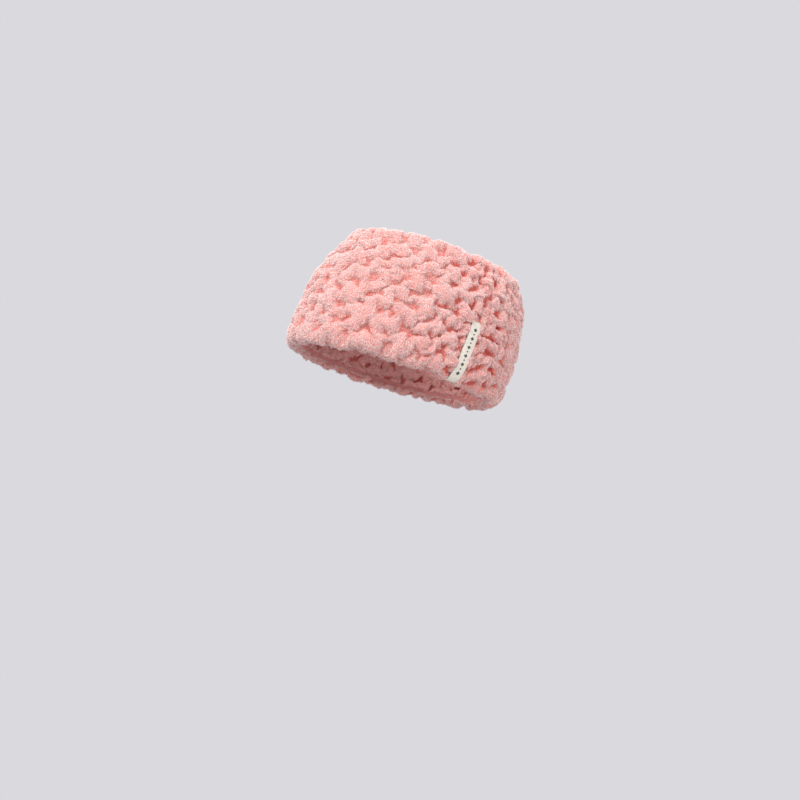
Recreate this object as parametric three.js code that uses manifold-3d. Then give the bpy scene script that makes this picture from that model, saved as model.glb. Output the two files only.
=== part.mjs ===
// Elastic terry headband, as worn: a wide, domed oval ring of two cloth layers with rows of elastic
// yarn between them, closed at both edges and joined at the two sides, with a small woven label.
// Units are millimetres and +Z is up. The wearer faces -Y, so the wearer's left side is +X.

import * as THREE from 'three';
import { mergeVertices } from 'three/addons/utils/BufferGeometryUtils.js';
import Module from 'manifold-3d';

// Overall shape. The oval is the middle of the wall at its widest, between the two cloths.
const BAND_HEIGHT = 120;
const OVAL_HALF_WIDTH = 87;
const OVAL_HALF_LENGTH = 102.5;
const DOME_IN = 27;          // how far the upper edge draws in over the crown
const LOWER_TUCK_IN = 4;     // how far the lower edge draws in under the fullest part
const CROWN_LEAN_BACK = 17;  // how far the upper edge sits behind the lower edge

// Cloth layers and what lies between them.
const OUTER_THICKNESS = 5.2;
const LINING_THICKNESS = 4.2;
const ELASTIC_DIAMETER = 1.0;
const ELASTIC_ROWS = 8;
const CLEARANCE = 0.3;
const EDGE_TURNING = 4.5;    // height of the turned edge, where the outer cloth folds over the lining
const ROW_MARGIN = 5;        // from the turned edges to the first and last elastic rows

// Side seams.
const SEAM_OPENING = 0.6;
const SEAM_THREAD_DIAMETER = 0.9;

// Woven label, in front of the wearer's left seam.
const LABEL_WIDTH = 10;
const LABEL_LENGTH = 56;
const LABEL_THICKNESS = 0.7;
const LABEL_FOOT = 2.5;      // height of its lower end
const LABEL_SEAM_DISTANCE = 11.5;   // from the seam to the label's middle, round the band
const LABEL_THREAD_DIAMETER = 0.6;
const LABEL_STITCH_INSET = 4;   // from each end of the label

const RING_STEPS = 36;       // round the whole oval
const WALL_STEPS = 9;        // up the wall's height
const YARN_SIDES = 6;

const HALF_CORE = ELASTIC_DIAMETER / 2 + CLEARANCE;
const OUTER_FACE = HALF_CORE + OUTER_THICKNESS;
const INNER_FACE = -(HALF_CORE + LINING_THICKNESS);
const LEFT_SIDE = 0;
const RIGHT_SIDE = Math.PI;

const wasm = await Module();
wasm.setup();

// The wall's drift from the oval at height z, outwards positive.
function wallDrift(z) {
  const up = z / BAND_HEIGHT;
  return -DOME_IN * up ** 3 - LOWER_TUCK_IN * (1 - up) ** 2;
}

// Layers keep their thickness square to the wall where it leans in, so they widen along the level.
function levelStretch(z) {
  const up = z / BAND_HEIGHT;
  const slope = (-3 * DOME_IN * up ** 2 + 2 * LOWER_TUCK_IN * (1 - up)) / BAND_HEIGHT;
  return Math.hypot(1, slope);
}

// A point at a bearing round the oval, a height, and a depth out from the middle of the wall.
function wallPoint(bearing, z, depth) {
  const cos = Math.cos(bearing);
  const sin = Math.sin(bearing);
  const normal = new THREE.Vector2(OVAL_HALF_LENGTH * cos, OVAL_HALF_WIDTH * sin).normalize();
  const out = wallDrift(z) + depth * levelStretch(z);
  return new THREE.Vector3(
    OVAL_HALF_WIDTH * cos + normal.x * out,
    OVAL_HALF_LENGTH * sin + normal.y * out,
    z,
  );
}

function heightsBetween(low, high, steps) {
  return Array.from({ length: steps + 1 }, (_, i) => THREE.MathUtils.lerp(low, high, i / steps));
}

// Joins the vertices that a three.js geometry repeats, so that the body is closed.
function weld(geometry) {
  geometry.deleteAttribute('normal');
  geometry.deleteAttribute('uv');
  return mergeVertices(geometry);
}

function toSolid(geometry) {
  const welded = weld(geometry);
  return new wasm.Manifold(new wasm.Mesh({
    numProp: 3,
    vertProperties: new Float32Array(welded.attributes.position.array),
    triVerts: new Uint32Array(welded.index.array),
  }));
}

function toGeometry(solid) {
  const mesh = solid.getMesh();
  const geometry = new THREE.BufferGeometry();
  geometry.setAttribute('position', new THREE.BufferAttribute(mesh.vertProperties, 3));
  geometry.setIndex(new THREE.BufferAttribute(mesh.triVerts, 1));
  geometry.computeVertexNormals();
  return geometry;
}

function moveVertices(geometry, place) {
  const position = geometry.attributes.position;
  const vertex = new THREE.Vector3();
  for (let i = 0; i < position.count; i += 1) {
    vertex.fromBufferAttribute(position, i);
    const moved = place(vertex);
    position.setXYZ(i, moved.x, moved.y, moved.z);
  }
  return geometry;
}

// Spins a cross-section, given as (depth, height) pairs, into a round ring, then bends that ring to
// the wall's oval and dome.
function ovalRing(section) {
  const blankRadius = OVAL_HALF_WIDTH;
  const profile = section.map(([depth, z]) => new THREE.Vector2(blankRadius + depth, z));
  profile.push(profile[0].clone());
  const blank = new THREE.LatheGeometry(profile, RING_STEPS).rotateX(Math.PI / 2);
  return moveVertices(blank, (vertex) => {
    const bearing = Math.atan2(vertex.y, vertex.x);
    const depth = Math.hypot(vertex.x, vertex.y) - blankRadius;
    return wallPoint(bearing, vertex.z, depth);
  });
}

// The front half faces -Y and the back half +Y; each stops short of the side seams by `setback`.
function cutHalf(ring, side, setback) {
  const reach = 2 * OVAL_HALF_LENGTH;
  const block = new THREE.BoxGeometry(2 * reach, reach, 4 * BAND_HEIGHT);
  block.translate(0, side * (reach / 2 + setback), 0);
  return toGeometry(toSolid(ring).intersect(toSolid(block)));
}

// Every piece is made upright; the band then leans back as one, its upper edge furthest.
function leanBack(geometry) {
  const slope = CROWN_LEAN_BACK / BAND_HEIGHT;
  return geometry.applyMatrix4(new THREE.Matrix4().makeShear(0, 0, 0, 0, 0, slope));
}

// Lays a small upright piece against the wall: its x is depth, its y runs round the wall.
function layOnWall(geometry, bearing) {
  const sideRadius = OVAL_HALF_LENGTH;
  return moveVertices(geometry, (vertex) => (
    wallPoint(bearing + vertex.y / sideRadius, vertex.z, vertex.x)
  ));
}

// Cross-sections, as (depth, height) pairs in order round the outline.
function outerPanelSection() {
  const faceHeights = heightsBetween(0, BAND_HEIGHT, WALL_STEPS);
  const backHeights = heightsBetween(BAND_HEIGHT - EDGE_TURNING, EDGE_TURNING, WALL_STEPS);
  return [
    ...faceHeights.map((z) => [OUTER_FACE, z]),
    [INNER_FACE, BAND_HEIGHT],
    [INNER_FACE, BAND_HEIGHT - EDGE_TURNING],
    ...backHeights.map((z) => [HALF_CORE, z]),
    [INNER_FACE, EDGE_TURNING],
    [INNER_FACE, 0],
  ];
}

function liningPanelSection() {
  const low = EDGE_TURNING + 2 * HALF_CORE;
  const high = BAND_HEIGHT - EDGE_TURNING - 2 * HALF_CORE;
  return [
    ...heightsBetween(low, high, WALL_STEPS).map((z) => [-HALF_CORE, z]),
    ...heightsBetween(high, low, WALL_STEPS).map((z) => [INNER_FACE, z]),
  ];
}

function yarnSection(depth, z) {
  return Array.from({ length: YARN_SIDES }, (_, i) => {
    const turn = 2 * Math.PI * i / YARN_SIDES;
    const radius = ELASTIC_DIAMETER / 2;
    return [depth + radius * Math.sin(turn), z - radius * Math.cos(turn)];
  });
}

const cloth = { color: 0xee9d97, roughness: 0.95, metalness: 0 };
const elastic = { color: 0xe98d86, roughness: 0.7, metalness: 0 };
const thread = { color: 0xe7908a, roughness: 0.8, metalness: 0 };
const tape = { color: 0xe6dccb, roughness: 0.85, metalness: 0 };

const headband = new THREE.Group();

function addPiece(name, geometry, finish) {
  const piece = new THREE.Mesh(leanBack(geometry), new THREE.MeshStandardMaterial(finish));
  piece.name = name;
  headband.add(piece);
}

const halves = [
  { label: 'back', side: 1 },
  { label: 'front', side: -1 },
];

function addHalfRings(name, section, setback, finish) {
  for (const { label, side } of halves) {
    addPiece(name.replace('HALF', label), cutHalf(ovalRing(section), side, setback), finish);
  }
}

function addPanels() {
  addHalfRings('outer_panel_HALF', outerPanelSection(), SEAM_OPENING / 2, cloth);
  addHalfRings('lining_panel_HALF', liningPanelSection(), SEAM_OPENING / 2, cloth);
}

function addElasticRows() {
  const setback = SEAM_THREAD_DIAMETER / 2 + CLEARANCE;
  const low = EDGE_TURNING + ROW_MARGIN;
  const rows = heightsBetween(low, BAND_HEIGHT - low, ELASTIC_ROWS - 1);
  rows.forEach((z, i) => {
    addHalfRings(`elastic_yarn_HALF_${i + 1}`, yarnSection(0, z), setback, elastic);
  });
}

function addEdgeStitches() {
  const setback = SEAM_THREAD_DIAMETER / 2 + CLEARANCE;
  const depth = -(HALF_CORE + LINING_THICKNESS / 2);
  const low = EDGE_TURNING + HALF_CORE;
  addHalfRings('lower_edge_stitch_HALF', yarnSection(depth, low), setback, thread);
  addHalfRings('upper_edge_stitch_HALF', yarnSection(depth, BAND_HEIGHT - low), setback, thread);
}

function addSeamThreads() {
  const low = EDGE_TURNING + CLEARANCE;
  const length = BAND_HEIGHT - 2 * low;
  const radius = SEAM_THREAD_DIAMETER / 2;
  for (const [name, bearing] of [['left', LEFT_SIDE], ['right', RIGHT_SIDE]]) {
    const post = new THREE.CylinderGeometry(radius, radius, length, YARN_SIDES, WALL_STEPS);
    post.rotateX(Math.PI / 2).translate(0, 0, BAND_HEIGHT / 2);
    addPiece(`side_seam_thread_${name}`, weld(layOnWall(post, bearing)), thread);
  }
}

function addLabel() {
  const bearing = LEFT_SIDE - LABEL_SEAM_DISTANCE / OVAL_HALF_LENGTH;
  const strip = new THREE.BoxGeometry(LABEL_THICKNESS, LABEL_WIDTH, LABEL_LENGTH, 1, 2, WALL_STEPS);
  const back = OUTER_FACE + CLEARANCE;
  strip.translate(back + LABEL_THICKNESS / 2, 0, LABEL_FOOT + LABEL_LENGTH / 2);
  addPiece('woven_label', weld(layOnWall(strip, bearing)), tape);

  const radius = LABEL_THREAD_DIAMETER / 2;
  const stitchLength = LABEL_WIDTH - 2;
  const stitchHeights = {
    lower: LABEL_FOOT + LABEL_STITCH_INSET,
    upper: LABEL_FOOT + LABEL_LENGTH - LABEL_STITCH_INSET,
  };
  for (const [name, z] of Object.entries(stitchHeights)) {
    const stitch = new THREE.CapsuleGeometry(radius, stitchLength, 2, YARN_SIDES, 3);
    stitch.translate(back + LABEL_THICKNESS + CLEARANCE + radius, 0, z);
    addPiece(`label_stitch_${name}`, weld(layOnWall(stitch, bearing)), thread);
  }
}

// Puts the origin under the middle of the whole band, on the plane of its lower edge.
function centreOverOrigin() {
  const middle = new THREE.Box3().setFromObject(headband).getCenter(new THREE.Vector3());
  headband.position.set(-middle.x, -middle.y, 0);
}

addPanels();
addElasticRows();
addEdgeStitches();
addSeamThreads();
addLabel();
centreOverOrigin();

export default headband;
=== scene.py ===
"""Looks of the elastic terry headband: puckered terry with its pile, elastic, threads and label."""
import math

import bpy
import numpy as np
from mathutils import Matrix, Vector


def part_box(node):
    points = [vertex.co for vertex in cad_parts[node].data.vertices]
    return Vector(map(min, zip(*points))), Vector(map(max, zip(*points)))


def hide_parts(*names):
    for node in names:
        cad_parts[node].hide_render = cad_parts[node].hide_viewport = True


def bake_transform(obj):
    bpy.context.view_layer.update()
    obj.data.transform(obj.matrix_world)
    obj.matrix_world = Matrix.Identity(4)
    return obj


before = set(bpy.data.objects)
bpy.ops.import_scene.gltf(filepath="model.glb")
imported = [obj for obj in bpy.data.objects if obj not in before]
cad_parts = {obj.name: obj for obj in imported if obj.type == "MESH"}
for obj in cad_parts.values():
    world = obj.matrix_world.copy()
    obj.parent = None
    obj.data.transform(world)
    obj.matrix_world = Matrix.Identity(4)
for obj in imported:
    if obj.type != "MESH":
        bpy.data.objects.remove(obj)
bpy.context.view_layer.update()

# ---------------------------------------------------------------- sizes, in metres
MM = 0.001
BAND_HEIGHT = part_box("outer_panel_front")[1][2]
OVAL_HALF_WIDTH = 87 * MM
OVAL_HALF_LENGTH = 102.5 * MM
PERIMETER = 2 * math.pi * math.sqrt((OVAL_HALF_WIDTH ** 2 + OVAL_HALF_LENGTH ** 2) / 2)
DOME_IN = 27 * MM                     # how far the wall leans in at the crown
LOWER_TUCK_IN = 4 * MM                # how far it tucks in at its lower edge
CROWN_LEAN_BACK = 17 * MM
OUTER_FACE = 6.0 * MM                 # depth of the CAD panels' faces, out from the middle of the wall
INNER_FACE = -5.0 * MM

OUTER_CLOTH = OUTER_FACE - 1.8 * MM   # depth of each cloth's envelope; the ridges stand over it
INNER_CLOTH = INNER_FACE + 0.9 * MM
CLOTH_THICKNESS = 0.8 * MM
RIM_RADIUS = (OUTER_CLOTH - INNER_CLOTH) / 2
RIM_DEPTH = (OUTER_CLOTH + INNER_CLOTH) / 2
RIM_CENTRE = RIM_RADIUS + 3.9 * MM    # height of the lower rim's centre line; its ridges reach the floor
LOWER_PINCH = 2.2 * MM                # how far the elastic draws the lower edge in
PINCH_LOW, PINCH_TOP = 3 * MM, 17 * MM
SIDE_LENGTH = BAND_HEIGHT - 2 * RIM_CENTRE
RIM_HALF_TURN = math.pi * RIM_RADIUS
LOOP_LENGTH = 2 * SIDE_LENGTH + 2 * RIM_HALF_TURN

TURNED_IN = 1.5 * MM                  # how far the outer cloth runs up inside each rim
SEAM_GAP = 0.5 * MM                   # between the two cloths' cut edges
LOW_SEAM = -(RIM_HALF_TURN / 2 + TURNED_IN)
HIGH_SEAM = RIM_HALF_TURN * 1.5 + SIDE_LENGTH + TURNED_IN

PILE_HEIGHT = 1.1 * MM
THREAD_RADIUS = 0.28 * MM
ELASTIC_RADIUS = 0.42 * MM
STITCH_RADIUS = 0.2 * MM
ELASTIC_ROWS = 8

LABEL_WIDTH = 10 * MM
LABEL_THICKNESS = 0.6 * MM
LABEL_U = -math.radians(6.4) / (2 * math.pi)   # its place round the band
LABEL_LOW = -3.5 * MM                          # its two ends, as arc lengths up the cloth
LABEL_HIGH = RIM_HALF_TURN / 2 + 58.5 * MM - RIM_CENTRE


# ---------------------------------------------------------------- the wall
def smoothstep(low, high, x):
    t = np.clip((x - low) / (high - low), 0, 1)
    return t * t * (3 - 2 * t)


def raw_wall(bearing, z, depth):
    """Points round the oval at a bearing, a height and a depth out from the middle of the wall."""
    up = z / BAND_HEIGHT
    drift = -DOME_IN * up ** 3 - LOWER_TUCK_IN * (1 - up) ** 2
    slope = (-3 * DOME_IN * up ** 2 + 2 * LOWER_TUCK_IN * (1 - up)) / BAND_HEIGHT
    out = drift + depth * np.sqrt(1 + slope ** 2)
    cos, sin = np.cos(bearing), np.sin(bearing)
    length = np.hypot(OVAL_HALF_LENGTH * cos, OVAL_HALF_WIDTH * sin)
    x = OVAL_HALF_WIDTH * cos + OVAL_HALF_LENGTH * cos / length * out
    y = OVAL_HALF_LENGTH * sin + OVAL_HALF_WIDTH * sin / length * out + CROWN_LEAN_BACK * up
    return np.stack(np.broadcast_arrays(x, y, z), -1)


def centring_shift():
    """The shift from the oval's centre to the CAD frame's origin, under the middle of the band's box."""
    turn = np.linspace(0, 2 * math.pi, 145)[:, None]
    face = raw_wall(turn, np.linspace(0, BAND_HEIGHT, 61)[None, :], OUTER_FACE)
    boxes = [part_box(panel) for panel in ("outer_panel_front", "outer_panel_back")]
    shift = [0.0, 0.0, 0.0]
    for i in (0, 1):
        low = min(box[0][i] for box in boxes)
        high = max(box[1][i] for box in boxes)
        shift[i] = (low + high - face[..., i].min() - face[..., i].max()) / 2
    return np.array(shift)


SHIFT = centring_shift()


def wall(bearing, z, depth):
    return raw_wall(bearing, z, depth) + SHIFT


def loop_profile(s):
    """Height and depth of the cloth's smooth envelope at arc length s round the cross-section. s = 0 is the
    lowest point of the lower rim; s grows up the outer side, over the upper rim and down inside."""
    s = np.mod(s, LOOP_LENGTH)
    quarter = RIM_HALF_TURN / 2
    ends = np.cumsum([0, quarter, SIDE_LENGTH, RIM_HALF_TURN, SIDE_LENGTH, quarter])
    top = BAND_HEIGHT - RIM_CENTRE
    angle_low = (s - ends[0]) / RIM_RADIUS
    angle_top = (s - ends[2]) / RIM_RADIUS
    angle_end = (s - ends[4]) / RIM_RADIUS
    height = np.select(
        [s < ends[1], s < ends[2], s < ends[3], s < ends[4]],
        [RIM_CENTRE - RIM_RADIUS * np.cos(angle_low), RIM_CENTRE + s - ends[1],
         top + RIM_RADIUS * np.sin(angle_top), top - (s - ends[3])],
        RIM_CENTRE - RIM_RADIUS * np.sin(angle_end))
    depth = np.select(
        [s < ends[1], s < ends[2], s < ends[3], s < ends[4]],
        [RIM_DEPTH + RIM_RADIUS * np.sin(angle_low), OUTER_CLOTH + 0 * s,
         RIM_DEPTH + RIM_RADIUS * np.cos(angle_top), INNER_CLOTH + 0 * s],
        RIM_DEPTH - RIM_RADIUS * np.cos(angle_end))
    return height, depth - LOWER_PINCH * smoothstep(PINCH_TOP, PINCH_LOW, height)


# ---------------------------------------------------------------- the pucker pattern
def ring_noise(shape, size, wave, band, seed):
    """Smooth random ripples of about one wavelength, periodic both ways."""
    rng = np.random.default_rng(seed)
    ku = np.fft.fftfreq(shape[0], size[0] / shape[0]) * wave
    ks = np.fft.fftfreq(shape[1], size[1] / shape[1]) * wave
    k = np.hypot(ku[:, None], ks[None, :])
    ripples = np.fft.ifft2(np.fft.fft2(rng.normal(size=shape)) * np.exp(-((k - 1) / band) ** 2)).real
    return ripples / ripples.std()


def buckle(field, size, wave):
    """A few steps of the Swift-Hohenberg buckling equation, which turns ripples into pits and ridges."""
    steps, step, excess, skew = 4, 0.25, 0.5, 0.8
    ku = np.fft.fftfreq(field.shape[0], size[0] / field.shape[0]) * wave
    ks = np.fft.fftfreq(field.shape[1], size[1] / field.shape[1]) * wave
    growth = excess - (1 - ku[:, None] ** 2 - ks[None, :] ** 2) ** 2
    spectrum = np.fft.fft2(field)
    for _ in range(steps):
        u = np.fft.ifft2(spectrum).real
        spectrum = (spectrum + step * np.fft.fft2(skew * u * u - u ** 3)) / (1 - step * growth)
    u = np.fft.ifft2(spectrum).real
    return u / u.std()


def sample(grid, u, s):
    """Bilinear lookup in a grid that repeats both ways; u and s run from 0 to 1."""
    nu, ns = grid.shape[:2]
    x, y = np.mod(u, 1) * nu, np.mod(s, 1) * ns
    i, j = np.floor(x).astype(int), np.floor(y).astype(int)
    fx, fy = x - i, y - j
    if grid.ndim == 3:
        fx, fy = fx[..., None], fy[..., None]
    i0, j0, i1, j1 = i % nu, j % ns, (i + 1) % nu, (j + 1) % ns
    low = grid[i0, j0] * (1 - fx) + grid[i1, j0] * fx
    high = grid[i0, j1] * (1 - fx) + grid[i1, j1] * fx
    return low * (1 - fy) + high * fy


# Round the band, u = 0 is the wearer's left, 0.25 the nape, 0.5 the right and 0.75 the brow.
def frontness(u):
    """1 at the brow, 0 over the sides and the nape."""
    away = np.abs(np.mod(u - 0.25, 1) - 0.5)
    return smoothstep(0.27, 0.13, away)


PUCKER_WAVE = 13.5 * MM      # distance from one pucker to the next, at the sides and the nape
BROW_STRETCH = 0.4           # how much wider the puckers are at the brow
CREASE_SHARE = 0.5           # finer creases between the puckers
CREASE_WAVE = 0.55 * PUCKER_WAVE
SWELL_WAVE = 34 * MM         # slow unevenness of the whole cloth
PATTERN_CELLS = (420, 220)
SWELL_CELLS = (120, 60)


def pucker_coordinate():
    """The pattern is stretched along the band at the brow: its own coordinate, from 0 to 1, at each u."""
    steps = 720
    u = np.linspace(0, 1, steps + 1)
    rate = 1 / (1 + BROW_STRETCH * frontness(u))
    total = np.concatenate([[0], np.cumsum((rate[1:] + rate[:-1]) / 2 / steps)])
    return u, total / total[-1], total[-1]


PUCKER_U, PUCKER_V, PUCKER_SHARE = pucker_coordinate()


def make_pattern():
    """Where the elastic threads hold the cloth down (high) and where it is free to blister (low)."""
    size = (PERIMETER * PUCKER_SHARE, LOOP_LENGTH)
    ripples = ring_noise(PATTERN_CELLS, size, PUCKER_WAVE, 0.5, seed=21)
    creases = ring_noise(PATTERN_CELLS, size, CREASE_WAVE, 0.4, seed=13)
    mixed = buckle(0.35 * ripples, size, PUCKER_WAVE) + CREASE_SHARE * creases
    return mixed / mixed.std()


PATTERN = make_pattern()
SWELL = ring_noise(SWELL_CELLS, (PERIMETER, LOOP_LENGTH), SWELL_WAVE, 0.5, seed=12)


def pattern_at(u, s):
    v = np.interp(np.mod(u, 1), PUCKER_U, PUCKER_V)
    return sample(PATTERN, v, s / LOOP_LENGTH)


def smooth_strip(u, s):
    """1 on the plain strip along the lower edge at the brow, where the cloth isn't puckered."""
    height, depth = loop_profile(s)
    return smoothstep(16 * MM, 9 * MM, height) * frontness(u) * (depth > RIM_DEPTH)


def side_seam(u):
    """1 on the two side seams of the band."""
    away = np.abs(np.mod(u + 0.25, 0.5) - 0.25) * PERIMETER
    return smoothstep(1.9 * MM, 0.6 * MM, away)


def round_from_label(u):
    """Metres along the band from the label's middle line."""
    return (np.mod(u - LABEL_U + 0.5, 1) - 0.5) * PERIMETER


def under_label(u, s):
    """1 where the label presses the cloth down."""
    across = smoothstep(5.6 * MM, 3.6 * MM, np.abs(round_from_label(u)))
    along = smoothstep(LABEL_LOW - 2 * MM, LABEL_LOW, s) * smoothstep(LABEL_HIGH, LABEL_HIGH - 2 * MM, s)
    return across * along


def first_relief(u, s):
    """Height over the envelope of the free cloth, which the cloth simulation starts from."""
    deepest, highest = -3.0 * MM, 1.4 * MM
    field = pattern_at(u, s)
    strength = (1 - 0.28 * frontness(u)) * (1 - 0.85 * smooth_strip(u, s))
    lift = deepest * smoothstep(0.25, 1.65, field) + highest * smoothstep(0.35, -1.7, field)
    return lift * strength


# ---------------------------------------------------------------- meshes from arrays
BAKE_MAP = "OFBake"


def new_object(name, vertices, faces, material):
    """faces is a list of index arrays, each (count, corners)."""
    mesh = bpy.data.meshes.new(name)
    faces = [np.asarray(f, np.int32) for f in faces if len(f)]
    totals = np.concatenate([np.full(len(f), f.shape[1], np.int32) for f in faces])
    corners = np.concatenate([f.ravel() for f in faces])
    mesh.vertices.add(len(vertices))
    mesh.vertices.foreach_set("co", np.asarray(vertices, np.float32).ravel())
    mesh.loops.add(len(corners))
    mesh.loops.foreach_set("vertex_index", corners)
    mesh.polygons.add(len(totals))
    starts = np.concatenate([[0], np.cumsum(totals)[:-1]])
    mesh.polygons.foreach_set("loop_start", starts.astype(np.int32))
    mesh.polygons.foreach_set("use_smooth", np.ones(len(totals), bool))
    mesh.update(calc_edges=True)
    mesh.validate()
    mesh.materials.append(material)
    obj = bpy.data.objects.new(name, mesh)
    bpy.context.scene.collection.objects.link(obj)
    return obj


def set_tone(obj, tone):
    """tone: painted light and shade, 0 deep in a pit or at a root as painted shade, 1 at the lit tip of the
    pile as painted highlight.
    """
    attribute = obj.data.attributes.new("tone", "FLOAT", "POINT")
    attribute.data.foreach_set("value", np.asarray(tone, np.float32))


def set_uv(obj, uv):
    """uv gives each vertex its place on the map."""
    index = np.empty(len(obj.data.loops), np.int32)
    obj.data.loops.foreach_get("vertex_index", index)
    set_corner_uv(obj, np.asarray(uv)[index])


def set_corner_uv(obj, corners):
    """corners gives each face corner its place on the map, in the order of the faces."""
    layer = obj.data.uv_layers.new(name=BAKE_MAP)
    layer.data.foreach_set("uv", np.asarray(corners).astype(np.float32).ravel())


def grid_faces(nu, nt, start=0, flip=False):
    """Quads of a grid that closes round u but not along t."""
    i, j = np.meshgrid(np.arange(nu), np.arange(nt - 1), indexing="ij")
    a = start + i * nt + j
    b = start + ((i + 1) % nu) * nt + j
    quads = np.stack([a, b, b + 1, a + 1], -1).reshape(-1, 4)
    return quads[:, ::-1] if flip else quads


def grid_uv(nu, nt):
    """Corner positions from 0 to 1 for the quads of grid_faces."""
    i, j = np.meshgrid(np.arange(nu), np.arange(nt - 1), indexing="ij")
    corners = [(i, j), (i + 1, j), (i + 1, j + 1), (i, j + 1)]
    return np.stack([np.stack([a / nu, b / (nt - 1)], -1) for a, b in corners], 2).reshape(-1, 4, 2)


def surface_normals(points):
    """Outward normals of a (u, t, xyz) grid that closes round u."""
    along_u = np.roll(points, -1, 0) - np.roll(points, 1, 0)
    along_t = np.gradient(points, axis=1)
    normal = np.cross(along_u, along_t)
    return normal / np.linalg.norm(normal, axis=-1, keepdims=True)


def resample(grid, nu, nt):
    """A smooth (Catmull-Rom) copy of a (u, t, xyz) grid with nu by nt points; it closes round u."""
    def weights(f):
        return (-0.5 * f + f * f - 0.5 * f ** 3, 1 - 2.5 * f * f + 1.5 * f ** 3,
                0.5 * f + 2 * f * f - 1.5 * f ** 3, -0.5 * f * f + 0.5 * f ** 3)

    def along(data, count, closed):
        size = data.shape[0]
        place = np.arange(count) * size / count if closed else np.linspace(0, size - 1, count)
        whole = np.floor(place).astype(int)
        part = weights((place - whole)[:, None, None])
        index = [whole + k for k in (-1, 0, 1, 2)]
        index = [i % size if closed else np.clip(i, 0, size - 1) for i in index]
        return sum(w * data[i] for w, i in zip(part, index))

    once = along(grid, nu, True)
    return along(once.transpose(1, 0, 2), nt, False).transpose(1, 0, 2)


def blur(grid, passes):
    """Averages neighbours in a (u, t) grid that closes round u."""
    for _ in range(passes):
        grid = (np.roll(grid, 1, 0) + 2 * grid + np.roll(grid, -1, 0)) / 4
        padded = np.pad(grid, ((0, 0), (1, 1)), mode="edge")
        grid = (padded[:, :-2] + 2 * grid + padded[:, 2:]) / 4
    return grid


# ---------------------------------------------------------------- the two cloths
SIM_SCALE = 20               # Blender's cloth works best on something the size of a bedspread
SIM_FRAMES = 20
SIM_GAP = 1.65 * MM          # distance between the simulated cloth's points
SIM_PRESSURE = 5.0
MOST_GROWTH = 0.32           # how much longer the gathered cloth is than the ring it is held to
HELD_ABOVE = 0.85            # the elastic holds the cloth where the pattern is above this
BROW_EASES_HOLD = 0.35       # what the brow and the plain strip add to that
STRIP_EASES_HOLD = 0.5
START_SHARE = 0.6            # of the first relief, that the free cloth starts from
SEAM_SHARE = 0.65            # of the pits' depth, that the side seams are pulled in by
SWELL_HEIGHT = 0.55 * MM
LOWEST_SWELL = -0.3
LABEL_PRESS = 0.9 * MM
EDGE_SINK = 1.0 * MM
PIT_HOLLOW = 1.55 * MM       # a pit this deep under the cloth around it has the deepest painted shade
BROW_PALES_PITS = 0.45       # how much less deep the pits' painted shade is at the brow
CLOTH_PAINTED_SHADE_TONE = 0.45            # the cloth's tone under the pile, lower than the loops' as painted shade, and how much lower it is in a pit as painted shade
CLOTH_PIT_PAINTED_SHADE = 0.35


def add_cloth(obj):
    """Blender's Cloth: held at the pins, growing where it isn't tight, blown up a little, no gravity."""
    cloth = obj.modifiers.new("cloth", "CLOTH")
    settings = cloth.settings
    settings.quality = 5
    settings.mass = 0.3
    settings.air_damping = 5
    settings.tension_stiffness = settings.compression_stiffness = 15
    settings.shear_stiffness = 5
    settings.bending_stiffness = 0.5
    settings.vertex_group_mass = "pins"
    settings.vertex_group_shrink = "tight"
    settings.shrink_min = -MOST_GROWTH
    settings.shrink_max = 0
    settings.use_pressure = True
    settings.uniform_pressure_force = SIM_PRESSURE
    settings.effector_weights.gravity = 0
    cloth.collision_settings.use_collision = False
    cloth.point_cache.frame_end = SIM_FRAMES


def settle_cloth(points, held, ease):
    """Blisters a cloth: its threads grow by ease (0 to 1 of MOST_GROWTH) while the held points stay put."""
    nu, nt = points.shape[:2]
    scene = bpy.context.scene
    mesh = bpy.data.meshes.new("settling")
    mesh.from_pydata((points * SIM_SCALE).reshape(-1, 3).tolist(), [], grid_faces(nu, nt).tolist())
    obj = bpy.data.objects.new("settling", mesh)
    scene.collection.objects.link(obj)
    pins = obj.vertex_groups.new(name="pins")
    pins.add(np.nonzero(held.ravel())[0].tolist(), 1.0, "REPLACE")
    tight = obj.vertex_groups.new(name="tight")
    for index, weight in enumerate(1 - ease.ravel()):
        tight.add([index], float(weight), "REPLACE")
    add_cloth(obj)
    for frame_number in range(1, SIM_FRAMES + 1):
        scene.frame_set(frame_number)
    settled = obj.evaluated_get(bpy.context.evaluated_depsgraph_get())
    flat = np.empty(nu * nt * 3, np.float32)
    settled.data.vertices.foreach_get("co", flat)
    bpy.data.objects.remove(obj)
    bpy.data.meshes.remove(mesh)
    scene.frame_set(1)
    return flat.reshape(nu, nt, 3).astype(float) / SIM_SCALE


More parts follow.
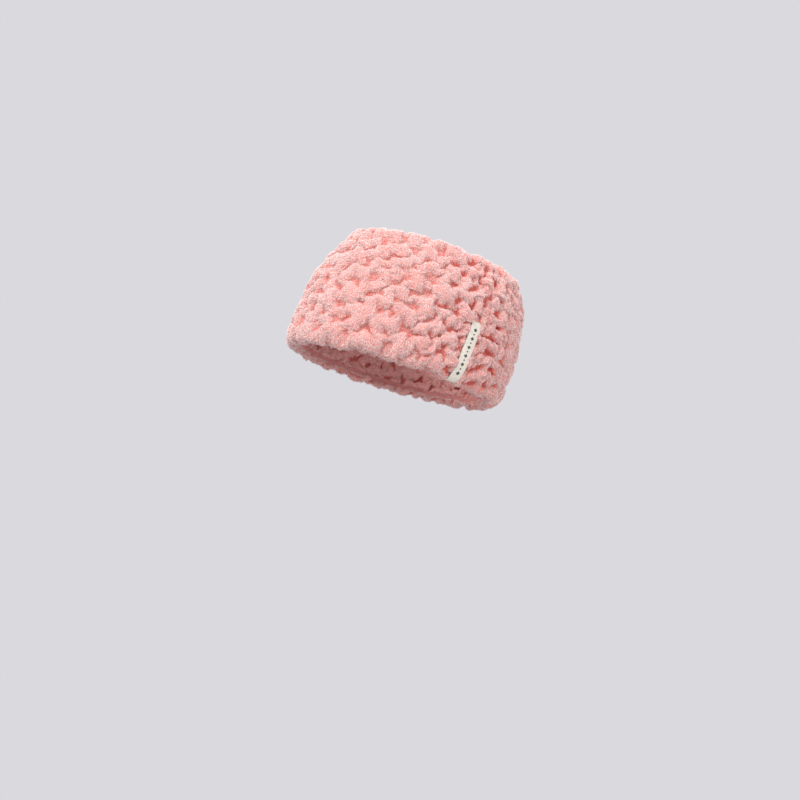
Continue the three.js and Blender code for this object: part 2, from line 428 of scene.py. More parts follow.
class ClothFace:
    """The pile side of one cloth: a grid over the band between two arc lengths of the cross-section."""

    def __init__(self, s_low, s_high, nu, nt, pit_depth, most_lift):
        self.s_low, self.s_high = s_low, s_high
        self.pit_depth, self.most_lift = pit_depth, most_lift
        offset = self.settled(int(PERIMETER / SIM_GAP), int((s_high - s_low) / SIM_GAP))
        uu, ss = self.grid(nu, nt)
        envelope, self.envelope_normal = self.envelope(uu, ss)
        self.points = envelope + resample(offset, nu, nt)
        self.normal = surface_normals(self.points)
        proud = np.sum((self.points - envelope) * self.envelope_normal, -1)
        hollow = blur(proud, 16) - blur(proud, 1)
        # pit share: it sets the painted shade in pits and how much shorter the loops there are
        self.pit = smoothstep(0, PIT_HOLLOW, hollow) * (1 - BROW_PALES_PITS * frontness(uu))

    def grid(self, nu, nt):
        return np.meshgrid(np.arange(nu) / nu, np.linspace(self.s_low, self.s_high, nt), indexing="ij")

    @staticmethod
    def envelope(uu, ss):
        """Points and outward normals of the smooth surface that the puckers stand on."""
        height, depth = loop_profile(ss)
        points = wall(2 * math.pi * uu, height, depth)
        return points, surface_normals(points)

    def start_shape(self, uu, ss):
        """Where the cloth is held, and its height over the envelope before it settles."""
        front, strip, seam, label = frontness(uu), smooth_strip(uu, ss), side_seam(uu), under_label(uu, ss)
        held = pattern_at(uu, ss) > HELD_ABOVE + BROW_EASES_HOLD * front + STRIP_EASES_HOLD * strip
        pits = -self.pit_depth * (1 - 0.5 * front) * (1 - 0.5 * strip)
        rest = np.where(held, pits, START_SHARE * first_relief(uu, ss))
        rest = rest + SWELL_HEIGHT * np.maximum(sample(SWELL, uu, ss / LOOP_LENGTH), LOWEST_SWELL)
        rest = rest * (1 - seam) - SEAM_SHARE * self.pit_depth * seam
        rest = rest * (1 - label) - LABEL_PRESS * label
        held |= (seam > 0.8) | (label > 0.5)
        edges = [0, 1, -2, -1]
        held[:, edges] = True
        rest[:, edges] = -EDGE_SINK
        return held, rest

    def settled(self, nu, nt):
        """The blistered cloth as offsets from its envelope, none of them prouder than most_lift."""
        uu, ss = self.grid(nu, nt)
        base, normal = self.envelope(uu, ss)
        held, rest = self.start_shape(uu, ss)
        points = base + normal * rest[..., None]
        ease = (1 - 0.5 * frontness(uu)) * (1 - 0.4 * smooth_strip(uu, ss))
        points = settle_cloth(points, held, ease)
        offset = points - base
        proud = np.sum(offset * normal, -1)
        lowered = np.where(proud > 0, self.most_lift * np.tanh(proud / self.most_lift), proud)
        return offset + normal * (lowered - proud)[..., None]

    def at(self, u, t):
        """Point, normal and pit share at u from 0 to 1 and t from 0 to 1 across the cloth."""
        nu, nt = self.points.shape[:2]
        x, y = np.mod(u, 1) * nu, np.clip(t, 0, 1) * (nt - 1)
        i, j = np.floor(x).astype(int), np.minimum(np.floor(y).astype(int), nt - 2)
        fx, fy = (x - i)[:, None], (y - j)[:, None]
        i0, i1 = i % nu, (i + 1) % nu

        def look(grid):
            low = grid[i0, j] * (1 - fx) + grid[i1, j] * fx
            high = grid[i0, j + 1] * (1 - fx) + grid[i1, j + 1] * fx
            return low * (1 - fy) + high * fy

        normal = look(self.normal)
        normal /= np.linalg.norm(normal, axis=-1, keepdims=True)
        return look(self.points), normal, look(self.pit[..., None])[:, 0]

    def shell(self, name, material):
        """The cloth itself as a closed body: pile side, back side and the two cut edges."""
        nu, nt = self.points.shape[:2]
        back = self.points - self.envelope_normal * CLOTH_THICKNESS
        vertices = np.concatenate([self.points.reshape(-1, 3), back.reshape(-1, 3)])
        count = nu * nt
        i = np.arange(nu)
        nxt = (i + 1) % nu
        low = np.stack([i * nt, count + i * nt, count + nxt * nt, nxt * nt], -1)
        high = np.stack([i * nt, nxt * nt, count + nxt * nt, count + i * nt], -1) + nt - 1
        faces = np.concatenate([grid_faces(nu, nt), grid_faces(nu, nt, count, True), low, high])
        obj = new_object(name, vertices, [faces], material)
        # painted shade: the cloth under the pile is darker than the loops, and darker still in a pit
        tone = CLOTH_PAINTED_SHADE_TONE - CLOTH_PIT_PAINTED_SHADE * self.pit.ravel()
        set_tone(obj, np.concatenate([tone, tone]))
        self.set_shell_uv(obj, nu, nt)
        return obj

    @staticmethod
    def set_shell_uv(obj, nu, nt):
        """The pile side fills the lower half of the map and the back side the upper half."""
        side = grid_uv(nu, nt)
        front = side * (1, 0.49)
        back = side[:, ::-1] * (1, 0.49) + (0, 0.5)
        edge = np.tile(np.array([(0, 0.992), (0, 0.998), (1, 0.998), (1, 0.992)]), (2 * nu, 1, 1))
        edge[:, :, 0] = (np.tile(np.arange(nu), 2)[:, None] + edge[:, :, 0]) / nu
        set_corner_uv(obj, np.concatenate([front, back, edge]))


# ---------------------------------------------------------------- the pile
def loop_template():
    """One terry loop: an arch of yarn with both feet buried in the cloth. Each row of the first array is a
    corner's place along the arch's span, across it and up, in shares of the loop's size, and its tone: 0 at
    the buried feet as painted shade, 0.8 at the top of the arch and 1 on its outer side as painted
    highlight."""
    yarn = 0.27
    arch = [(-0.46, -0.30, math.pi, 0.0), (-0.36, 0.62, 0.72 * math.pi, 0.8),
            (0.36, 0.62, 0.28 * math.pi, 0.8), (0.46, -0.30, 0.0, 0.0)]
    rows = []
    for span, up, outward, tone in arch:
        for corner in range(3):
            turn = 2 * math.pi * corner / 3
            out = yarn * math.cos(turn)
            # painted highlight: the outer corner of each upper ring gets 0.2 more tone
            rows.append((span + out * math.cos(outward), yarn * math.sin(turn),
                         up + out * math.sin(outward), tone + 0.2 * (tone > 0) * (corner == 0)))
    quads = []
    for k in range(3):
        for i in range(3):
            quads.append((3 * k + i, 3 * k + (i + 1) % 3, 3 * k + 3 + (i + 1) % 3, 3 * k + 3 + i))
    feet = [(2, 1, 0), (9, 10, 11)]
    return np.array(rows), np.array(quads)[:, ::-1], np.array(feet)[:, ::-1]


LOOP_ROWS, LOOP_QUADS, LOOP_FEET = loop_template()
LOOP_TILT = 0.36             # spread of the loops' lean
LOOP_DROOP = 0.12            # how far they all lean down
LOOP_TWIST = 0.22            # spread of their twist
LOOP_HEIGHTS = (0.75, 1.3)   # shares of PILE_HEIGHT
LOOP_WIDTHS = (0.95, 1.35)   # shares of the spacing
ROW_PITCH = 0.87             # distance between rows of loops, as a share of the spacing
PIT_SHORTENS = 0.35          # how much shorter the loops are at the bottom of a pit
LOOP_PIT_PAINTED_SHADE = 0.78           # and how much lower their tone is there, as painted shade
# the loops' tone at the feet, its rise towards the lit top as painted highlight (the feet stay darker as
# painted shade), and its random spread
FOOT_TONE, LOOP_TIP_PAINTED_HIGHLIGHT, TONE_SPREAD = 0.62, 0.17, 0.05
MAP_MARGIN = 0.01


def near(s, place, reach):
    return np.abs(np.mod(s - place + LOOP_LENGTH / 2, LOOP_LENGTH) - LOOP_LENGTH / 2) < reach


def no_pile(u, s):
    """Where nothing stands up: under the label and along the two overlocked seams."""
    clear = 1.3 * MM
    return (under_label(u, s) > 0.35) | near(s, LOW_SEAM, clear) | near(s, HIGH_SEAM, clear)


def scatter(face, u_low, u_high, spacing, rng):
    """Even but irregular places for the loops, at u round the band and t across the cloth."""
    jitter = 0.4
    across = face.s_high - face.s_low
    rows = int(across / (spacing * ROW_PITCH))
    columns = int(PERIMETER * (u_high - u_low) / spacing)
    i, j = np.meshgrid(np.arange(columns), np.arange(rows), indexing="ij")
    u = u_low + (u_high - u_low) * (i + 0.5 * (j % 2) + rng.uniform(-jitter, jitter, i.shape)) / columns
    t = (j + 0.5 + rng.uniform(-jitter, jitter, i.shape)) / rows
    u, t = u.ravel(), t.ravel()
    keep = ~no_pile(u, face.s_low + across * t)
    return u[keep], t[keep]


def loop_axes(normal, rng):
    """Which way each loop stands, spans and is thick: about upright, any way round."""
    count = len(normal)
    axis = normal + rng.normal(0, LOOP_TILT, (count, 3)) + (0, 0, -LOOP_DROOP)
    axis /= np.linalg.norm(axis, axis=1, keepdims=True)
    span = np.cross(axis, rng.normal(size=(count, 3)))
    span /= np.linalg.norm(span, axis=1, keepdims=True)
    return axis, span, np.cross(axis, span)


def loop_vertices(root, normal, pit, spacing, rng):
    """Every loop's corners, (loops, corners, xyz). Loops in a pit are shorter."""
    count = len(root)
    axis, span, thick = loop_axes(normal, rng)
    height = PILE_HEIGHT * (1 - PIT_SHORTENS * pit) * rng.uniform(*LOOP_HEIGHTS, count)
    width = spacing * rng.uniform(*LOOP_WIDTHS, count)
    twist = rng.normal(0, LOOP_TWIST, (count, 1)) * LOOP_ROWS[None, :, 2]
    along = LOOP_ROWS[None, :, 0] * width[:, None]
    over = (LOOP_ROWS[None, :, 1] + twist) * spacing
    up = LOOP_ROWS[None, :, 2] * height[:, None]
    return (root[:, None] + span[:, None] * along[..., None] + thick[:, None] * over[..., None]
            + axis[:, None] * up[..., None])


def set_pile_uv(obj, u_share, t, reach):
    """Each loop lies on the map at its own place on the cloth."""
    map_u = u_share[:, None] + LOOP_ROWS[None, :, 0] * reach
    map_t = t[:, None] + LOOP_ROWS[None, :, 1] * reach
    inside = 1 - 2 * MAP_MARGIN
    set_uv(obj, np.stack([MAP_MARGIN + inside * map_u, MAP_MARGIN + inside * map_t], -1).reshape(-1, 2))


def pile(name, face, u_low, u_high, spacing, seed, material):
    """Terry loops standing on a cloth face between two places round the band."""
    rng = np.random.default_rng(seed)
    u, t = scatter(face, u_low, u_high, spacing, rng)
    root, normal, pit = face.at(u, t)
    vertices = loop_vertices(root, normal, pit, spacing, rng)
    start = (np.arange(len(u)) * len(LOOP_ROWS))[:, None, None]
    faces = [(start + LOOP_QUADS).reshape(-1, 4), (start + LOOP_FEET).reshape(-1, 3)]
    obj = new_object(name, vertices.reshape(-1, 3), faces, material)
    # painted light and shade: loops darker at the feet and in pits, lighter at the top of the arch
    tone = (FOOT_TONE + LOOP_TIP_PAINTED_HIGHLIGHT * LOOP_ROWS[None, :, 3]) * (1 - LOOP_PIT_PAINTED_SHADE * pit[:, None])
    set_tone(obj, np.clip(tone + rng.normal(0, TONE_SPREAD, (len(u), 1)), 0, 1).ravel())
    reach = 0.5 * spacing / (PERIMETER * (u_high - u_low))
    set_pile_uv(obj, (u - u_low) / (u_high - u_low), t, reach)
    return obj


# ---------------------------------------------------------------- materials
def principled(name, roughness, **inputs):
    material = bpy.data.materials.new(name)
    material.use_nodes = True
    shader = material.node_tree.nodes["Principled BSDF"]
    shader.inputs["Roughness"].default_value = roughness
    for key, value in inputs.items():
        shader.inputs[key.replace("_", " ")].default_value = value
    return material, material.node_tree, shader


def node(tree, kind, **inputs):
    made = tree.nodes.new(kind)
    for key, value in inputs.items():
        made.inputs[key].default_value = value
    return made


def ramp(tree, source, stops):
    made = tree.nodes.new("ShaderNodeValToRGB")
    elements = made.color_ramp.elements
    while len(elements) < len(stops):
        elements.new(0.5)
    for element, (place, colour) in zip(elements, stops):
        element.position = place
        element.color = (*colour, 1)
    tree.links.new(source, made.inputs["Fac"])
    return made.outputs["Color"]


def bump(tree, shader, source, strength, distance):
    made = node(tree, "ShaderNodeBump", Strength=strength, Distance=distance)
    tree.links.new(source, made.inputs["Height"])
    tree.links.new(made.outputs["Normal"], shader.inputs["Normal"])


def multiply_add(tree, source, factor, added):
    """source times factor, plus added."""
    made = tree.nodes.new("ShaderNodeMath")
    made.operation = "MULTIPLY_ADD"
    made.inputs[1].default_value = factor
    tree.links.new(source, made.inputs[0])
    tree.links.new(added, made.inputs[2])
    return made.outputs[0]


DYE_UNEVENNESS = 0.22


def terry_material(name, stops):
    """Dyed cotton pile: stops give its colour from the painted shade deep in a pit to the painted highlight
    on the lit tips.
    """
    material, tree, shader = principled(
        name, 0.95, Sheen_Weight=0.3, Sheen_Roughness=0.5, Sheen_Tint=(1, 0.72, 0.68, 1),
        Specular_IOR_Level=0.15)
    tone = tree.nodes.new("ShaderNodeAttribute")
    tone.attribute_name = "tone"
    place = tree.nodes.new("ShaderNodeTexCoord")
    dye = node(tree, "ShaderNodeTexNoise", Scale=45.0, Detail=3.0, Roughness=0.6)
    tree.links.new(place.outputs["Object"], dye.inputs["Vector"])
    shade = multiply_add(tree, dye.outputs["Fac"], DYE_UNEVENNESS, tone.outputs["Fac"])
    tree.links.new(ramp(tree, shade, stops), shader.inputs["Base Color"])
    fuzz = node(tree, "ShaderNodeTexNoise", Scale=2600.0, Detail=2.0, Roughness=0.6)
    tree.links.new(place.outputs["Object"], fuzz.inputs["Vector"])
    bump(tree, shader, fuzz.outputs["Fac"], strength=0.5, distance=0.4 * MM)
    return material


def thread_material(name, dark, light, ply):
    """Twisted thread: diagonal plies in colour and bump. More of them lie along it the larger ply is."""
    material, tree, shader = principled(
        name, 0.7, Sheen_Weight=0.3, Sheen_Roughness=0.4, Specular_IOR_Level=0.3)
    place = tree.nodes.new("ShaderNodeUVMap")
    place.uv_map = BAKE_MAP
    scale = tree.nodes.new("ShaderNodeMapping")
    scale.inputs["Scale"].default_value = (ply, 3, 1)
    tree.links.new(place.outputs["UV"], scale.inputs["Vector"])
    plies = tree.nodes.new("ShaderNodeTexWave")
    plies.bands_direction = "DIAGONAL"
    plies.inputs["Scale"].default_value = 0.5
    plies.inputs["Distortion"].default_value = 0.6
    tree.links.new(scale.outputs["Vector"], plies.inputs["Vector"])
    tree.links.new(ramp(tree, plies.outputs["Fac"], [(0, dark), (1, light)]), shader.inputs["Base Color"])
    bump(tree, shader, plies.outputs["Fac"], strength=0.4, distance=0.2 * MM)
    return material


WARP_SHARE = 0.35            # of the warps against the ribs, and of both against the slub
WEAVE_SHARE = 0.45


def tape_material():
    """Undyed cotton tape: a rib across its width, fainter warps along it and a slight slub."""
    material, tree, shader = principled(
        "label_tape", 0.85, Sheen_Weight=0.2, Sheen_Roughness=0.5, Specular_IOR_Level=0.2)
    place = tree.nodes.new("ShaderNodeUVMap")
    place.uv_map = BAKE_MAP
    ribs = node(tree, "ShaderNodeTexWave", Scale=40.0, Distortion=0.5)
    ribs.inputs["Detail Scale"].default_value = 4.0
    ribs.bands_direction = "X"
    warps = node(tree, "ShaderNodeTexWave", Scale=8.0, Distortion=0.3)
    warps.bands_direction = "Y"
    for wave in (ribs, warps):
        tree.links.new(place.outputs["UV"], wave.inputs["Vector"])
    weave = multiply_add(tree, warps.outputs["Fac"], WARP_SHARE, ribs.outputs["Fac"])
    spots = tree.nodes.new("ShaderNodeTexCoord")
    slub = node(tree, "ShaderNodeTexNoise", Scale=900.0, Detail=3.0)
    tree.links.new(spots.outputs["Object"], slub.inputs["Vector"])
    shade = multiply_add(tree, weave, WEAVE_SHARE, slub.outputs["Fac"])
    tree.links.new(ramp(tree, shade, TAPE_STOPS), shader.inputs["Base Color"])
    bump(tree, shader, weave, strength=0.5, distance=0.3 * MM)
    return material


# terry colours by tone: the low stops are painted shade in pits and at roots, the top stops painted
# highlight on lit tips
TERRY_SHADE_TO_HIGHLIGHT_STOPS = [(0.10, (0.74, 0.075, 0.05)), (0.42, (0.85, 0.255, 0.205)),
               (0.76, (0.87, 0.555, 0.515)), (1.0, (0.905, 0.77, 0.745))]
LINING_SHADE_TO_HIGHLIGHT_STOPS = [(0.10, (0.66, 0.10, 0.08)), (0.42, (0.80, 0.28, 0.24)),
                (0.78, (0.87, 0.50, 0.46)), (1.0, (0.91, 0.62, 0.585))]
TAPE_STOPS = [(0.3, (0.56, 0.49, 0.38)), (0.6, (0.74, 0.68, 0.57)), (1.0, (0.84, 0.79, 0.69))]

terry = terry_material("terry_cloth", TERRY_SHADE_TO_HIGHLIGHT_STOPS)
lining_terry = terry_material("terry_lining_cloth", LINING_SHADE_TO_HIGHLIGHT_STOPS)
elastic_yarn = thread_material("covered_elastic", (0.62, 0.20, 0.17), (0.86, 0.42, 0.38), ply=900)
sewing_thread = thread_material("sewing_thread", (0.74, 0.28, 0.25), (0.90, 0.48, 0.44), ply=500)
label_thread = thread_material("label_thread", (0.62, 0.55, 0.44), (0.86, 0.81, 0.71), ply=20)
mark_thread = thread_material("mark_thread", (0.045, 0.04, 0.04), (0.11, 0.10, 0.095), ply=6)
tape = tape_material()


# ---------------------------------------------------------------- threads, yarns and strips
STITCH_STEPS = 6             # points along one stitch


def over_cloth(u, s, lift):
    """A point lift above the cloth's envelope."""
    def envelope(a, b):
        height, depth = loop_profile(b)
        return wall(2 * math.pi * a, height, depth)

    small = 0.2 * MM
    along_u = envelope(u + small / PERIMETER, s) - envelope(u - small / PERIMETER, s)
    along_s = envelope(u, s + small) - envelope(u, s - small)
    normal = np.cross(along_u, along_s)
    normal /= np.linalg.norm(normal, axis=-1, keepdims=True)
    return envelope(u, s) + normal * np.asarray(lift)[..., None]


def tube_rings(path, radius, closed, sides, ply):
    """Rings of points round a path; ply gives them the three lobes of twisted yarn."""
    twist_step, end_share, upright = 0.9, 0.35, 0.35
    if closed:
        forward = np.roll(path, -1, 0) - np.roll(path, 1, 0)
    else:
        forward = np.gradient(path, axis=0)
    forward /= np.linalg.norm(forward, axis=1, keepdims=True)
    outward = np.stack([path[:, 0], path[:, 1], upright + 0 * path[:, 2]], -1)
    side = np.cross(forward, outward / np.linalg.norm(outward, axis=1, keepdims=True))
    side /= np.linalg.norm(side, axis=1, keepdims=True)
    above = np.cross(side, forward)
    turn = 2 * math.pi * np.arange(sides) / sides
    twist = np.arange(len(path))[:, None] * twist_step
    size = radius * (1 + ply * np.cos(3 * turn[None, :] + twist))
    if not closed:
        size[[0, -1]] *= end_share
    return (path[:, None] + side[:, None] * (np.cos(turn) * size)[..., None]
            + above[:, None] * (np.sin(turn) * size)[..., None])


def tube_faces(count, sides, closed):
    """The quads between a tube's rings, the caps of an open one, and the corners of both on the map."""
    i, j = np.meshgrid(np.arange(count if closed else count - 1), np.arange(sides), indexing="ij")
    i1, j1 = (i + 1) % count, (j + 1) % sides
    quads = np.stack([i1 * sides + j, i1 * sides + j1, i * sides + j1, i * sides + j], -1).reshape(-1, 4)
    corners = [(i + 1, j), (i + 1, j + 1), (i, j + 1), (i, j)]
    quad_map = np.stack([np.stack([a / count, b / sides], -1) for a, b in corners], 2).reshape(-1, 2)
    around = np.arange(sides)
    caps = np.stack([around, (count - 1) * sides + around[::-1]])
    cap_map = np.concatenate([np.stack([0 * around, around / sides], -1),
                              np.stack([1 + 0 * around, around[::-1] / sides], -1)])
    if closed:
        caps, cap_map = caps[:0], cap_map[:0]
    return quads, caps, quad_map, cap_map


def tube(name, paths, radius, material, closed, sides=6, ply=0.0):
    """Round thread along one or more lists of points."""
    rings = [tube_rings(path, radius, closed, sides, ply).reshape(-1, 3) for path in paths]
    quads, caps, quad_maps, cap_maps = zip(*[tube_faces(len(path), sides, closed) for path in paths])
    starts = np.concatenate([[0], np.cumsum([len(ring) for ring in rings])[:-1]])
    faces = [np.concatenate([start + part for start, part in zip(starts, parts)])
             for parts in (quads, caps)]
    obj = new_object(name, np.concatenate(rings), faces, material)
    set_corner_uv(obj, np.concatenate(quad_maps + cap_maps))
    return obj


def overlock(name, s_seam, material):
    """The overlocked join of the outer cloth and the lining: thread that crosses the seam to and fro."""
    stitch_length, reach, crest, dip = 2.6 * MM, 1.5 * MM, 0.45 * MM, 0.55 * MM
    stitches = int(PERIMETER / stitch_length)
    phase = np.arange(stitches * STITCH_STEPS) / STITCH_STEPS
    swing = np.sin(2 * math.pi * phase)
    s = s_seam + reach * np.clip(1.35 * swing, -1, 1)
    lift = crest - dip * np.abs(swing) ** 6
    return tube(name, [over_cloth(phase / stitches, s, lift)], THREAD_RADIUS, material, True)


def seam_thread(name, u, face, material):
    """A lockstitch row up a side seam, in the valley between the two halves' cloth."""
    stitch_length, first, last = 2.4 * MM, 0.06, 0.94
    stitches = int((last - first) * (face.s_high - face.s_low) / stitch_length)
    t = np.linspace(first, last, stitches * STITCH_STEPS)
    point, normal, _ = face.at(np.full(len(t), u), t)
    phase = np.arange(len(t)) / STITCH_STEPS
    lift = THREAD_RADIUS * (0.9 - 2.4 * np.abs(np.sin(math.pi * phase)) ** 8)
    return tube(name, [point + normal * lift[:, None]], THREAD_RADIUS, material, False)


def elastic_rows(name, material):
    """Covered elastic yarns round the band, between the two cloths."""
    turns = np.arange(360) / 360
    paths = []
    for k in range(1, ELASTIC_ROWS + 1):
        low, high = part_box(f"elastic_yarn_front_{k}")
        paths.append(wall(2 * math.pi * turns, (low[2] + high[2]) / 2 + 0 * turns, 0 * turns))
    return tube(name, paths, ELASTIC_RADIUS, material, True, sides=12, ply=0.14)


# ---------------------------------------------------------------- the label
MARK_SIZES = [1.7 * MM, 0.8 * MM] * 5 + [1.7 * MM]   # half the length of each lozenge
MARK_MARGIN = 9 * MM
MARK_PROUD = 0.12 * MM
MARK_SUNK = 0.2 * MM


def label_lift(s):
    """Height of the label's middle over the envelope: bowed over the puckers, and tucked in at its ends."""
    share = (s - LABEL_LOW) / (LABEL_HIGH - LABEL_LOW)
    tucked_length = 5 * MM
    bow = 1.35 + 0.35 * np.sin(7.5 * share + 0.4) * smoothstep(0, 0.3, share)
    tuck_top = smoothstep(LABEL_HIGH - tucked_length, LABEL_HIGH, s)
    tuck_low = smoothstep(LABEL_LOW + tucked_length, LABEL_LOW, s)
    return (bow - 2.6 * tuck_top - 1.1 * tuck_low) * MM


def label_point(across, s, over):
    """across is metres from the label's middle line, towards the back of the head when positive."""
    edge_drop = 0.25 * MM * (across / (LABEL_WIDTH / 2)) ** 2
    drift = 0.8 * MM * np.sin(s / (30 * MM))
    return over_cloth(LABEL_U + (across + drift) / PERIMETER, s, label_lift(s) + over - edge_drop)


def slab(top, low):
    """Vertices and faces of a thin closed body between two (across, along, xyz) grids."""
    rows, columns = top.shape[:2]
    count = rows * columns
    i, j = np.meshgrid(np.arange(rows - 1), np.arange(columns - 1), indexing="ij")
    a = (i * columns + j).ravel()
    quads = np.stack([a, a + columns, a + columns + 1, a + 1], -1)
    rim = np.concatenate([np.arange(columns), np.arange(1, rows) * columns + columns - 1,
                          (rows - 1) * columns + np.arange(columns - 2, -1, -1),
                          np.arange(rows - 2, 0, -1) * columns])
    after = np.roll(rim, -1)
    edge = np.stack([rim, after, after + count, rim + count], -1)
    vertices = np.concatenate([top.reshape(-1, 3), low.reshape(-1, 3)])
    return vertices, np.concatenate([quads, quads[:, ::-1] + count, edge])


def make_label():
    """The tape: a closed thin strip with raised selvedges."""
    columns, rows, selvedge_height = 15, 90, 0.08 * MM
    across, s = np.meshgrid(np.linspace(-0.5, 0.5, columns) * LABEL_WIDTH,
                            np.linspace(LABEL_LOW, LABEL_HIGH, rows), indexing="ij")
    selvedge = selvedge_height * smoothstep(0.40, 0.47, np.abs(across) / LABEL_WIDTH)
    half = LABEL_THICKNESS / 2 + selvedge
    vertices, faces = slab(label_point(across, s, half), label_point(across, s, -half))
    obj = new_object("woven_label_tape", vertices, [faces], tape)
    uv = np.stack([(s - LABEL_LOW) / (LABEL_HIGH - LABEL_LOW), across / LABEL_WIDTH + 0.5], -1)
    face_map = uv.reshape(-1, 2) * (1, 0.45)
    set_uv(obj, np.concatenate([face_map, face_map + (0, 0.5)]))
    return obj


def lozenge(reach):
    """Places on a lozenge: how far across and along the tape each lies, and its share of the way across."""
    steps, blunt = 5, 0.1 * MM
    share, along = np.meshgrid(np.linspace(-1, 1, steps), np.linspace(-1, 1, steps), indexing="ij")
    return share * ((1 - np.abs(along)) * reach + blunt), along * reach, share


def make_marks():
    """A plain woven row of large and small lozenges, in dark thread standing just proud of the tape."""
    places = np.linspace(MARK_MARGIN, LABEL_HIGH - MARK_MARGIN, len(MARK_SIZES))
    vertices, faces, maps = [], [], []
    for k, (place, reach) in enumerate(zip(places, MARK_SIZES)):
        across, along, share = lozenge(reach)
        face = LABEL_THICKNESS / 2 + MARK_PROUD * (1 - 0.5 * share ** 4)
        points, quads = slab(label_point(across, place + along, face),
                             label_point(across, place + along, LABEL_THICKNESS / 2 - MARK_SUNK))
        faces.append(quads + sum(map(len, vertices)))
        vertices.append(points)
        cell = np.stack([(k + 0.5 + 0.45 * along / reach) / len(places), 0.25 + 0.2 * share], -1)
        maps += [cell.reshape(-1, 2), cell.reshape(-1, 2) + (0, 0.5)]
    obj = new_object("woven_label_marks", np.concatenate(vertices), [np.concatenate(faces)], mark_thread)
    set_uv(obj, np.concatenate(maps))
    return obj


def label_stitches(name, s_row):
    """Four straight stitches across the tape."""
    count, pitch, half_length = 4, 2.3 * MM, 0.95 * MM
    share = np.linspace(-1, 1, 7)
    paths = []
    for k in range(count):
        across = (k - (count - 1) / 2) * pitch + share * half_length
        arch = LABEL_THICKNESS / 2 + 0.16 * MM - 0.5 * MM * share ** 4
        paths.append(label_point(across, s_row + 0 * across, arch))
    return tube(name, paths, STITCH_RADIUS, label_thread, False)


# ---------------------------------------------------------------- the band
def across_stretch(piece):
    """Bakes the piece's placing into its mesh."""
    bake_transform(piece)


def both_halves(*names):
    return [f"{name}_{half}" for name in names for half in ("front", "back")]


def make_cloth(side, face, material, sectors, spacing, seed):
    """One cloth ring and its pile, which is made in sectors round the band."""
    cloth = face.shell(f"terry_{side}", material)
    piles = []
    for k in range(sectors):
        low, high = k / sectors, (k + 1) / sectors
        piles.append(pile(f"pile_{side}_{k + 1}", face, low, high, spacing, seed + k, material))
    for piece in [cloth] + piles:
        across_stretch(piece)
    return cloth, piles


outer_face = ClothFace(LOW_SEAM + SEAM_GAP / 2, HIGH_SEAM - SEAM_GAP / 2, 440, 108,
                       pit_depth=2.6 * MM, most_lift=5.0 * MM)
outer, outer_piles = make_cloth("outer", outer_face, terry, sectors=8, spacing=1.15 * MM, seed=20)
lining_face = ClothFace(HIGH_SEAM + SEAM_GAP / 2, LOOP_LENGTH + LOW_SEAM - SEAM_GAP / 2, 400, 84,
                        pit_depth=1.9 * MM, most_lift=2.6 * MM)
lining, lining_piles = make_cloth("lining", lining_face, lining_terry, sectors=5,
                                  spacing=1.35 * MM, seed=40)
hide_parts(*both_halves("outer_panel"))
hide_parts(*both_halves("lining_panel"))

elastic = elastic_rows("elastic_yarns", elastic_yarn)
across_stretch(elastic)
for k in range(1, ELASTIC_ROWS + 1):
    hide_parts(f"elastic_yarn_front_{k}", f"elastic_yarn_back_{k}")

for edge, place in (("lower", LOW_SEAM), ("upper", HIGH_SEAM)):
    join = overlock(f"{edge}_edge_overlock", place, sewing_thread)
    across_stretch(join)
    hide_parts(*both_halves(f"{edge}_edge_stitch"))

for side, place in (("left", 0.0), ("right", 0.5)):
    row = seam_thread(f"side_seam_{side}", place, outer_face, sewing_thread)
    across_stretch(row)
    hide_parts(f"side_seam_thread_{side}")

label = make_label()
marks = make_marks()
across_stretch(label)
across_stretch(marks)
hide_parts("woven_label")
for end, place in (("lower", 2.0 * MM), ("upper", LABEL_HIGH - 4.5 * MM)):
    stitches = label_stitches(f"label_stitches_{end}", place)
    across_stretch(stitches)
    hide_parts(f"label_stitch_{end}")


# ---------------------------------------------------------------- stage, light, camera
FLOOR_COLOUR = (0.36, 0.357, 0.375, 1)   # blends with the studio's at the horizon
FLOOR_REACH = 40
STUDIO_COLOUR = (0.70, 0.695, 0.73, 1)


def make_floor():
    """A pale floor under the band. The photograph looks up at the band from under its base plane, so the
    floor is clear from below. It casts no shadow and no bounced light on the band's lower edge."""
    material, tree, shader = principled("floor", 0.9, Base_Color=FLOOR_COLOUR)
    clear = tree.nodes.new("ShaderNodeBsdfTransparent")
    sides = tree.nodes.new("ShaderNodeNewGeometry")
    mix = tree.nodes.new("ShaderNodeMixShader")
    tree.links.new(sides.outputs["Backfacing"], mix.inputs["Fac"])
    tree.links.new(shader.outputs["BSDF"], mix.inputs[1])
    tree.links.new(clear.outputs["BSDF"], mix.inputs[2])
    tree.links.new(mix.outputs["Shader"], tree.nodes["Material Output"].inputs["Surface"])
    corners = FLOOR_REACH * np.array([(-1, -1, 0), (1, -1, 0), (1, 1, 0), (-1, 1, 0)], float)
    floor = new_object("floor", corners, [np.array([[0, 1, 2, 3]])], material)
    floor.visible_diffuse = False
    floor.visible_shadow = False


TARGET = Vector((float(SHIFT[0]), float(SHIFT[1]), BAND_HEIGHT / 2))
AZIMUTH, ELEVATION, ROLL = math.radians(47.65), math.radians(-11.28), math.radians(15.44)
DISTANCE = 1.091
SENSOR_WIDTH = 36                    # millimetres, as Blender's cameras have it
FOCAL_IN_WIDTHS = 1.522              # focal length over the frame's width
TARGET_IN_FRAME = (0.0107, 0.1051)   # the band's middle, in frame widths from the frame's middle


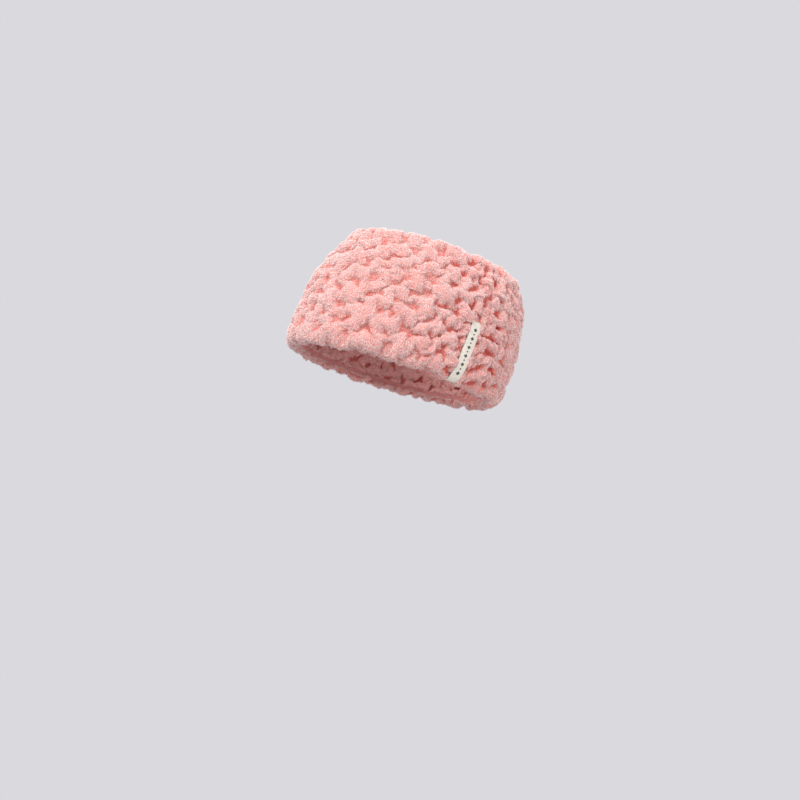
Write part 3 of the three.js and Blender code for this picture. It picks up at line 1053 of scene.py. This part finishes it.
def camera_axes():
    """To the right in the picture, up in it, and from the band towards the camera."""
    towards = Vector((math.sin(AZIMUTH) * math.cos(ELEVATION), -math.cos(AZIMUTH) * math.cos(ELEVATION),
                      math.sin(ELEVATION)))
    level = Vector((math.cos(AZIMUTH), math.sin(AZIMUTH), 0))
    up = towards.cross(level)
    right = math.cos(ROLL) * level + math.sin(ROLL) * up
    above = -math.sin(ROLL) * level + math.cos(ROLL) * up
    return right, above, towards


def make_camera():
    right, above, towards = camera_axes()
    axes = Matrix((right, above, towards)).transposed()
    wanted = Vector((TARGET_IN_FRAME[0], TARGET_IN_FRAME[1], -FOCAL_IN_WIDTHS)).normalized()
    turn = Vector((0, 0, -1)).rotation_difference(wanted).to_matrix()
    data = bpy.data.cameras.new("camera")
    data.sensor_width = SENSOR_WIDTH
    data.lens = SENSOR_WIDTH * FOCAL_IN_WIDTHS
    camera = bpy.data.objects.new("camera", data)
    place = Matrix.Translation(TARGET + DISTANCE * towards)
    camera.matrix_world = place @ (axes @ turn.inverted()).to_4x4()
    bpy.context.scene.collection.objects.link(camera)
    bpy.context.scene.camera = camera


def soft_light(name, direction, strength, spread):
    """Light from a wide patch of a studio's ceiling or wall, spread degrees across."""
    data = bpy.data.lights.new(name, "SUN")
    data.energy = strength
    data.angle = math.radians(spread)
    light = bpy.data.objects.new(name, data)
    light.rotation_euler = direction.to_track_quat("Z", "Y").to_euler()
    bpy.context.scene.collection.objects.link(light)


def make_lights():
    right, above, towards = camera_axes()
    soft_light("key", -0.55 * right + 1.0 * above + 0.55 * towards, strength=3.4, spread=40)
    soft_light("fill", 0.9 * right + 0.3 * above + 0.7 * towards, strength=1.1, spread=50)
    soft_light("rim", 0.7 * right + 0.9 * above - 1.0 * towards, strength=1.2, spread=50)
    world = bpy.data.worlds.new("studio")
    world.use_nodes = True
    background = world.node_tree.nodes["Background"]
    background.inputs["Color"].default_value = STUDIO_COLOUR
    background.inputs["Strength"].default_value = 1.0
    bpy.context.scene.world = world
    bpy.context.scene.view_settings.view_transform = "Standard"


make_floor()
make_camera()
make_lights()
